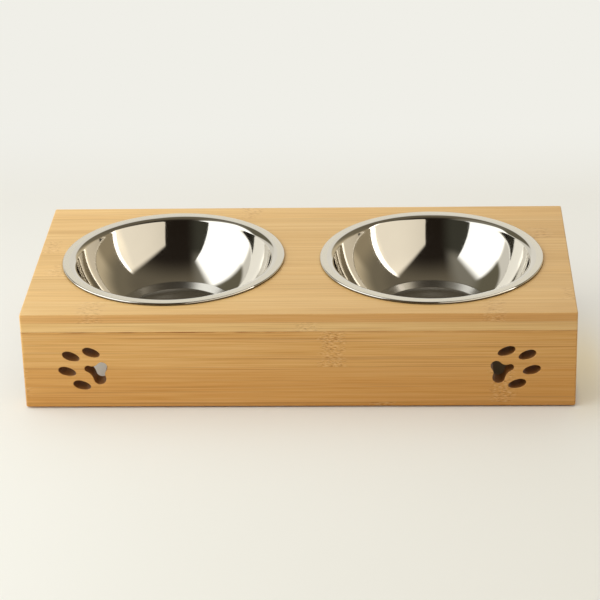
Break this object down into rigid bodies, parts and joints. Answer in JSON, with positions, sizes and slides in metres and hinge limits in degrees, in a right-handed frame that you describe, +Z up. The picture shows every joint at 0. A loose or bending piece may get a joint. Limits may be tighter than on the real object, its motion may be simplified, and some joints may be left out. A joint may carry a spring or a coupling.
{
  "type": "dog bowl stand",
  "caption": "Low open-ended bamboo stand with paw-print cut-outs in its front panel, holding round steel feeding bowls that lift out of holes in its top board.",
  "frame": {"origin": "centre of the footprint, on the floor", "axes": "+X along the length to the right, +Y to the plain back panel, +Z up; the paw cut-outs face -Y"},
  "size_m": [0.4, 0.196, 0.0774],
  "materials": {
    "bamboo_top": "clear satin lacquer on laminated bamboo",
    "bamboo_panel": "clear satin lacquer on laminated bamboo",
    "dowel_wood": "plain grooved dowel",
    "rubber_foot": "matt anti-slip rubber",
    "bowl_steel": "mirror polished inside, satin brim"
  },
  "bodies": {
    "stand": {"top_board": "bamboo_top", "front_panel": "bamboo_panel", "back_panel": "bamboo_panel", "front_dowel_1": "dowel_wood", "front_dowel_2": "dowel_wood", "front_dowel_3": "dowel_wood", "front_dowel_4": "dowel_wood", "back_dowel_1": "dowel_wood", "back_dowel_2": "dowel_wood", "back_dowel_3": "dowel_wood", "back_dowel_4": "dowel_wood", "foot_front_left": "rubber_foot", "foot_front_right": "rubber_foot", "foot_back_left": "rubber_foot", "foot_back_right": "rubber_foot"},
    "bowl_left": {"bowl_left": "bowl_steel"},
    "bowl_right": {"bowl_right": "bowl_steel"}
  },
  "joints": [
    {"name": "bowl_left_lift", "type": "slide", "parent": "stand", "child": "bowl_left", "axis": [0, 0, 1], "range_m": [0, 0.08]},
    {"name": "bowl_right_lift", "type": "slide", "parent": "stand", "child": "bowl_right", "axis": [0, 0, 1], "range_m": [0, 0.08]}
  ]
}
